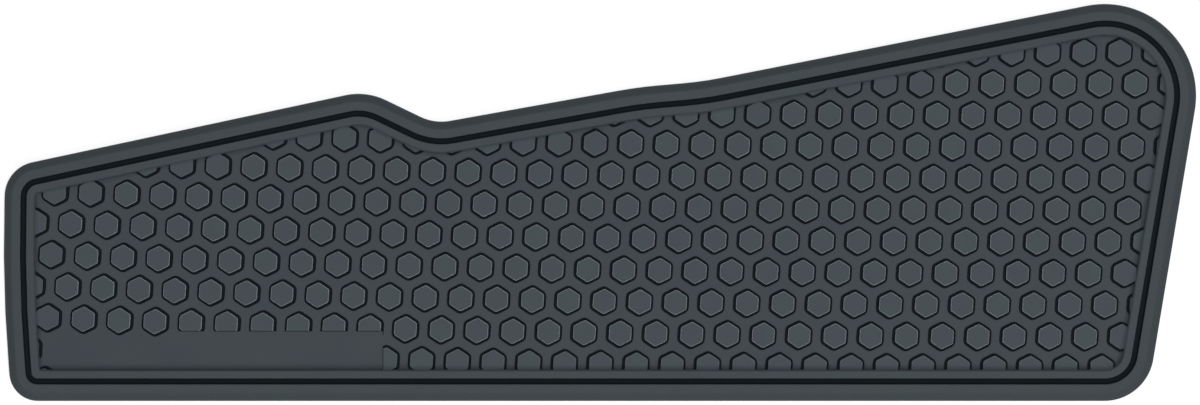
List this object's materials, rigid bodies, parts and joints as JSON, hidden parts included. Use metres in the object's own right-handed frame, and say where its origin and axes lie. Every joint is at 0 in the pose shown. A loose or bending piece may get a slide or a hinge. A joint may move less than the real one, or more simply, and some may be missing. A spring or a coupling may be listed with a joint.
{
  "type": "motorcycle tank pad",
  "caption": "Flat rubber knee grip for the side of a motorcycle's fuel tank, with a raised grooved rim round a field of hexagonal studs.",
  "frame": {"origin": "middle of the outline's box, on the flat back", "axes": "+X along the pad from its narrow end to its wide end, +Y across it towards the bent edge, +Z out of the grip face"},
  "size_m": [0.29, 0.0966, 0.0028],
  "materials": {
    "rubber": "matt to satin, dark slate grey, smooth moulded skin"
  },
  "bodies": {
    "root": {"tank_pad": "rubber"}
  },
  "joints": []
}
